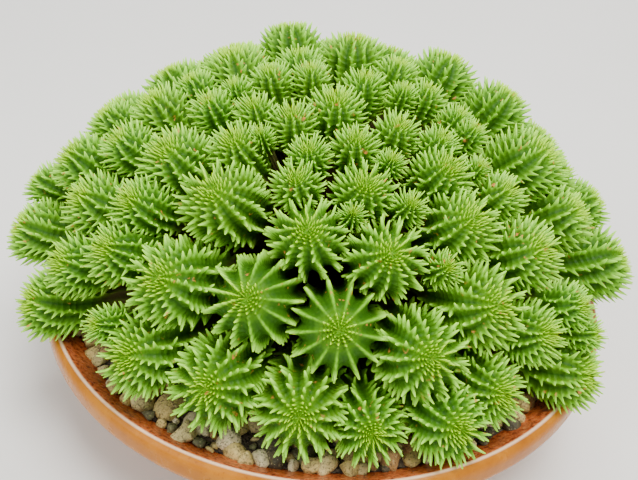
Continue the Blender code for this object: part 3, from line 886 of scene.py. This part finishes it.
def glaze_material():
    """Ochre on the outside, red-brown with dark specks on the inside, and a pale band on the crest as a
    painted highlight.
    """
    made = Nodes("bowl_glaze", 0.25)
    made.shader.inputs["Coat Weight"].default_value = 0.04
    made.shader.inputs["Specular IOR Level"].default_value = 0.14
    made.shader.inputs["Coat Roughness"].default_value = 0.16
    cloud = made.noise(28.0, 5.0, 0.65)
    speck = made.noise(420.0, 3.0, 0.7)
    place = made.add("ShaderNodeSeparateXYZ")
    made.join(made.place(), place.inputs[0])
    square = made.math("MULTIPLY", place.outputs[0], place.outputs[0])
    square = made.math("ADD", square, made.math("MULTIPLY", place.outputs[1], place.outputs[1]))
    spread = made.math("SQRT", square, 0.0)
    beyond = made.math("SUBTRACT", spread, GLAZE_TURN_RADIUS)
    outside = made.math("MULTIPLY", beyond, 1 / GLAZE_TURN_WIDTH, True)
    slope = (INNER_RIM_HEIGHT - FLOOR_THICKNESS) / (INNER_RIM_RADIUS - INNER_FLOOR_RADIUS)
    inner = made.math("MULTIPLY", made.math("SUBTRACT", spread, INNER_FLOOR_RADIUS), slope)
    inner = made.math("ADD", made.math("MAXIMUM", inner, 0.0), FLOOR_THICKNESS - GLAZE_DEPTH)
    below = made.math("SUBTRACT", inner, place.outputs[2])
    below = made.math("MULTIPLY", below, 1 / GLAZE_TURN_WIDTH, True)
    outside = made.math("MAXIMUM", outside, below)
    ochre = made.ramp(cloud, OCHRE)
    rust = made.ramp(cloud, RUST)
    rust = made.mix(made.grey(speck, [(0.50, 0.0), (0.60, 0.85)]), rust, (0.14, 0.024, 0.008))
    rust = made.mix(made.grey(speck, [(0.34, 0.45), (0.42, 0.0)]), rust, (0.70, 0.30, 0.09))
    ochre = made.mix(made.grey(speck, [(0.60, 0.0), (0.70, 0.5)]), ochre, (0.22, 0.055, 0.010))
    # Painted highlight: in a narrow band along the crest of the lip, the glaze is mixed to a pale
    # pink-white.
    off_crest = made.math("ABSOLUTE", made.math("SUBTRACT", spread, RIM_RADIUS - CREST_RADII[0]), 0.0)
    wear_and_highlight = made.grey(made.math("MULTIPLY", off_crest, 1 / CREST_RADII[0]), [(0.06, 0.85), (0.28, 0.0)])
    made.colour(made.mix(wear_and_highlight, made.mix(outside, rust, ochre), (0.92, 0.66, 0.44)))
    made.roughness(made.grey(cloud, [(0.3, 0.20), (0.8, 0.36)]))
    made.bump(made.math("ADD", cloud, made.math("MULTIPLY", speck, 0.3)), 0.25, 0.0010)
    return made.material


# Bowl, soil, rootstock and gravel

def ring_points(profile, sides):
    """Each point of a profile, turned once round the axis."""
    turns = math.tau * np.arange(sides) / sides
    rings = []
    for radius, height in profile:
        rings.append(np.stack([radius * np.cos(turns), radius * np.sin(turns), np.full(sides, height)], -1))
    return np.concatenate(rings)


def turned_arrays(profile, sides):
    """A turned solid from a profile that starts and ends on the axis."""
    rows = len(profile) - 2
    ends = [(0, 0, profile[0][1]), (0, 0, profile[-1][1])]
    points = np.concatenate([ring_points(profile[1:-1], sides), ends])
    return points, ring_quads(rows, sides), end_fans(rows, sides), {}


def arc(radius, height, radii, turns):
    """Points of an upright ellipse about (radius, height), at turns in degrees from outwards."""
    turns = [math.radians(turn) for turn in turns]
    return [(radius + radii[0] * math.cos(turn), height + radii[1] * math.sin(turn)) for turn in turns]


def stretch(first, last, steps, belly=0.0):
    """Points between two points of a profile, sagging by belly."""
    points = []
    for step in range(1, steps):
        part = step / steps
        radius = first[0] + (last[0] - first[0]) * part
        height = first[1] + (last[1] - first[1]) * part
        points.append((radius, height - belly * math.sin(math.pi * part)))
    return points


def bowl_profile():
    crest = arc(RIM_RADIUS - CREST_RADII[0], RIM_HEIGHT - CREST_RADII[1], CREST_RADII, CREST_TURNS)
    collar = arc(RIM_RADIUS - COLLAR_RADII[0], COLLAR_HEIGHT, COLLAR_RADII, COLLAR_TURNS)
    floor_edge = (INNER_FLOOR_RADIUS, FLOOR_THICKNESS)
    rim_edge = (INNER_RIM_RADIUS, INNER_RIM_HEIGHT)
    neck = (NECK_RADIUS, NECK_HEIGHT)
    foot = (FOOT_RADIUS, FOOT_HEIGHT)
    profile = [(0, FLOOR_THICKNESS), (BOWL_MIDDLE, FLOOR_THICKNESS), floor_edge]
    profile += stretch(floor_edge, rim_edge, BOWL_STEPS) + [rim_edge] + crest + collar
    profile += [neck] + stretch(neck, foot, BOWL_STEPS, WALL_BELLY) + [foot]
    profile += [(FOOT_RADIUS + inset, height) for inset, height in FOOT_EDGES]
    return profile + [(BOWL_MIDDLE, 0), (0, 0)]


def drain_drills():
    drills = []
    for index in range(DRAIN_HOLES):
        turn = math.tau * (index + 0.5) / DRAIN_HOLES
        shape = bmesh.new()
        bmesh.ops.create_cone(
            shape, cap_ends=True, segments=DRILL_SIDES,
            radius1=DRAIN_RADIUS, radius2=DRAIN_RADIUS, depth=DRILL_LENGTH,
        )
        bmesh.ops.translate(
            shape, verts=shape.verts,
            vec=(DRAIN_RING_RADIUS * math.cos(turn), DRAIN_RING_RADIUS * math.sin(turn), 0),
        )
        mesh = bpy.data.meshes.new("drill")
        shape.to_mesh(mesh)
        shape.free()
        drill = bpy.data.objects.new("drill", mesh)
        bpy.context.scene.collection.objects.link(drill)
        drills.append(drill)
    return drills


def build_bowl():
    arrays = turned_arrays(bowl_profile(), BOWL_SIDES)
    made = mesh_object("glazed_bowl", arrays, glaze_material(), "bowl")
    drills = drain_drills()
    for drill in drills:
        cut = made.modifiers.new("drain", "BOOLEAN")
        cut.object = drill
        cut.solver = "EXACT"
    graph = bpy.context.evaluated_depsgraph_get()
    mesh = bpy.data.meshes.new_from_object(made.evaluated_get(graph))
    made.modifiers.clear()
    made.data = mesh
    for drill in drills:
        bpy.data.objects.remove(drill, do_unlink=True)


def inner_radius(height):
    """Radius of the bowl's inner wall at a height."""
    share = (INNER_RIM_HEIGHT - height) / (INNER_RIM_HEIGHT - FLOOR_THICKNESS)
    return INNER_RIM_RADIUS + (INNER_FLOOR_RADIUS - INNER_RIM_RADIUS) * share


def rough(points, scale, amount, seed):
    """Moves points by smooth noise."""
    moved = points.copy()
    for index, point in enumerate(points):
        for axis in range(3):
            spot = Vector(point) * scale + Vector((seed * (axis + 1), 0, 0))
            moved[index, axis] += amount * noise.noise(spot)
    return moved


def build_rootstock():
    foot = PIT_FLOOR + ROOT_CLEARANCE
    profile = [(0, HUB[2] + ROOT_RADIUS)]
    profile += arc(0, HUB[2], (ROOT_RADIUS, ROOT_RADIUS), ROOT_TURNS)
    profile += [ROOT_NECK, (TAPROOT_RADIUS, PIT_FLOOR + TAPROOT_BEVEL)]
    profile += [(TAPROOT_RADIUS - TAPROOT_BEVEL, foot), (0, foot)]
    arrays = turned_arrays(profile, ROOT_SIDES)
    points = arrays[0]
    high = points[:, 2] > MOUND_HEIGHT + BARK_START
    points[high] = rough(points[high], BARK_SCALE, BARK_DEPTH, BARK_SEED)
    mesh_object("woody_base", arrays, earth_material("bark", *BARK), "rootstock")


def pebbles():
    """Where each pebble of the top dressing lies, as in the solids."""
    draw = random.Random(PEBBLE_SEED)
    placed = []
    for ring_radius, count in PEBBLE_RINGS:
        start = draw.random()
        for index in range(count):
            bearing = math.tau * (index + start + draw.uniform(-PEBBLE_JITTER, PEBBLE_JITTER)) / count
            size = draw.uniform(*PEBBLE_SIZE)
            height = draw.uniform(*PEBBLE_HEIGHT)
            radius = ring_radius + draw.uniform(-PEBBLE_DRIFT, PEBBLE_DRIFT)
            radius = min(radius, inner_radius(PEBBLE_FOOT) - size - PEBBLE_CLEARANCE)
            sides = (size, size * draw.uniform(*PEBBLE_LENGTHS), height)
            tilts = [draw.uniform(-PEBBLE_TILT, PEBBLE_TILT) for _ in range(2)]
            angles = (*tilts, draw.uniform(0, math.tau))
            centre = (radius * math.sin(bearing), -radius * math.cos(bearing), PEBBLE_FOOT)
            placed.append((centre, sides, angles))
    return placed


def ball(subdivisions):
    """Points and triangles of an even ball."""
    shape = bmesh.new()
    bmesh.ops.create_icosphere(shape, subdivisions=subdivisions, radius=1)
    points = np.array([tuple(vertex.co) for vertex in shape.verts])
    triangles = np.array([[vertex.index for vertex in face.verts] for face in shape.faces])
    shape.free()
    return points, triangles


def stone_arrays(shape, centre, sides, turn, draw):
    """A worn, angular stone: a ball pressed flat on several random planes, then roughened."""
    points, triangles = shape
    points = points.copy()
    for _ in range(FLATS):
        normal = np.array([draw.gauss(0, 1) for _ in range(3)])
        normal = normal / np.linalg.norm(normal)
        over = points @ normal - draw.uniform(*FLAT_PLACES)
        points = points - np.where(over > 0, over * FLAT_PRESS, 0)[:, None] * normal
    spot = Vector((draw.uniform(*LUMP_PLACES), 0, 0))
    lumps = np.array([noise.noise(Vector(point) * LUMP_SCALE + spot) for point in points])
    points = points * (STONE_SWELL + LUMP_HEIGHT * lumps)[:, None]
    points = points * np.array(sides)
    cosine, sine = math.cos(turn), math.sin(turn)
    x = points[:, 0] * cosine - points[:, 1] * sine
    y = points[:, 0] * sine + points[:, 1] * cosine
    points = np.stack([x, y, points[:, 2]], -1) + np.array(centre)
    masks = {"kind": np.full(len(points), draw.random())}
    return points, np.zeros((0, 4), int), triangles, masks


def build_stones(shape, draw, material):
    """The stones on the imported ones. It gives back the place and size of each."""
    stones = []
    taken = []
    for (x, y, z), sides, angles in pebbles():
        size = np.array(sides) * STONE_SPREAD
        stones.append(stone_arrays(shape, (x, y, z + sides[2] * STONE_RISE), size, angles[2], draw))
        taken.append((x, y, sides[0]))
    mesh_object("gravel_stones", joined_arrays(stones), material, "gravel")
    return taken


def wall_chips(shape, taken, draw):
    """Chips along the wall, in a row with some jitter."""
    chips = []
    for index in range(WALL_CHIPS):
        size = draw.uniform(*WALL_CHIP_SIZE)
        height = BED_TOP + draw.uniform(*WALL_CHIP_RISE)
        bearing = math.tau * (index + draw.uniform(-WALL_CHIP_JITTER, WALL_CHIP_JITTER)) / WALL_CHIPS
        radius = inner_radius(height) - size * draw.uniform(*WALL_CHIP_INSET)
        centre = (radius * math.cos(bearing), radius * math.sin(bearing), height)
        sides = (size, size * draw.uniform(*CHIP_LENGTHS), size * draw.uniform(*WALL_CHIP_HEIGHTS))
        chips.append(stone_arrays(shape, centre, sides, draw.uniform(0, math.tau), draw))
        taken.append((centre[0], centre[1], size))
    return chips


def loose_chips(shape, taken, count, draw):
    """Chips on the bed: a drawn place is kept where the stones leave it room."""
    chips = []
    for _ in range(CHIP_DRAWS):
        if len(chips) == count:
            break
        size = draw.uniform(*CHIP_SIZE)
        radius = math.sqrt(draw.uniform(GRAVEL_INNER_RADIUS ** 2, (inner_radius(BED_TOP) - size) ** 2))
        bearing = draw.uniform(0, math.tau)
        x, y = radius * math.cos(bearing), radius * math.sin(bearing)
        room = min(math.hypot(x - tx, y - ty) - STONE_ROOM * tr for tx, ty, tr in taken)
        if room < size * CHIP_ROOM:
            continue
        taken.append((x, y, size))
        sides = (size, size * draw.uniform(*CHIP_LENGTHS), size * draw.uniform(*CHIP_HEIGHTS))
        centre = (x, y, BED_TOP + sides[2] * CHIP_RISE)
        chips.append(stone_arrays(shape, centre, sides, draw.uniform(0, math.tau), draw))
    return chips


def build_bed():
    """A ring of grit under the stones, uneven on top."""
    wall_high = inner_radius(BED_TOP) - 2 * CLEARANCE
    wall_low = inner_radius(BED_HEIGHT) - 2 * CLEARANCE
    edge = GRAVEL_INNER_RADIUS + BED_CHAMFER
    ring = [(GRAVEL_INNER_RADIUS, BED_HEIGHT), (edge, BED_TOP)]
    ring += stretch((edge, BED_TOP), (wall_high, BED_TOP), BED_STEPS)
    ring += [(wall_high, BED_TOP), (wall_low, BED_HEIGHT)]
    points = ring_points(ring, BED_SIDES)
    # the rows on top, from the chamfer to the last one before the wall
    for index in range(BED_SIDES, BED_SIDES * (BED_STEPS + 1)):
        points[index, 2] += GRIT_HEIGHT * noise.noise(Vector(points[index]) * GRIT_SCALE)
    quads = ring_quads(len(ring) + 1, BED_SIDES) % len(points)
    arrays = (points, quads, np.zeros((0, 3), int), {})
    mesh_object("gravel_bed", arrays, earth_material("grit", *GRIT), "gravel")


def build_gravel():
    draw = random.Random(STONE_SEED)
    material = stone_material()
    large, small = ball(2), ball(1)
    taken = build_stones(large, draw, material)
    chips = wall_chips(large, taken, draw)
    chips += loose_chips(small, taken, CHIPS - WALL_CHIPS, draw)
    mesh_object("gravel_chips", joined_arrays(chips), material, "gravel")
    build_bed()


def build_heads():
    heads = all_heads()
    skin = head_material()
    main = [head for head in heads if head.parent is None]
    for number, head in enumerate(main, 1):
        group = [other for other in heads if other.stem is head]
        arrays = joined_arrays([head_arrays(other) for other in group])
        mesh_object(f"heads_{number:02d}", arrays, skin, f"stem_{number:02d}")


def dress_soil():
    soil = frame["nodes"]["soil"]
    soil = soil if hasattr(soil, "data") else bpy.data.objects["soil"]
    soil.data.materials.clear()
    soil.data.materials.append(earth_material("soil_dark", *SOIL))


# Camera, light and floor

def build_stage():
    shape = bmesh.new()
    bmesh.ops.create_grid(shape, x_segments=1, y_segments=1, size=FLOOR_SIZE)
    mesh = bpy.data.meshes.new("floor")
    shape.to_mesh(mesh)
    shape.free()
    floor = bpy.data.objects.new("floor", mesh)
    bpy.context.scene.collection.objects.link(floor)
    made = Nodes("pale_floor", 0.8)
    cloud = made.noise(3.0, 3.0)
    made.colour(made.ramp(cloud, FLOOR_COLOURS))
    mesh.materials.append(made.material)

    world = bpy.data.worlds.new("studio")
    bpy.context.scene.world = world
    world.use_nodes = True
    sky = world.node_tree.nodes["Background"]
    sky.inputs["Color"].default_value = (*STUDIO_COLOUR, 1)
    sky.inputs["Strength"].default_value = STUDIO_STRENGTH
    for name, place, size, power, colour in LAMPS:
        light = bpy.data.lights.new(name, "AREA")
        light.size = size
        light.energy = power
        light.color = colour
        lamp = bpy.data.objects.new(name, light)
        lamp.location = place
        way = LAMP_TARGET - Vector(place)
        lamp.rotation_euler = way.to_track_quat("-Z", "Y").to_euler()
        bpy.context.scene.collection.objects.link(lamp)


def build_camera():
    lens = bpy.data.cameras.new("camera")
    lens.lens = CAMERA_LENS
    lens.sensor_width = CAMERA_SENSOR
    camera = bpy.data.objects.new("camera", lens)
    camera.location = CAMERA_PLACE
    tilt = Matrix.Rotation(math.radians(90 - CAMERA_PITCH), 3, "X")
    roll = Matrix.Rotation(math.radians(CAMERA_ROLL), 3, "Z")
    camera.rotation_euler = (tilt @ roll).to_euler()
    bpy.context.scene.collection.objects.link(camera)
    bpy.context.scene.camera = camera


build_camera()
build_stage()
build_bowl()
dress_soil()
build_rootstock()
build_gravel()
build_heads()
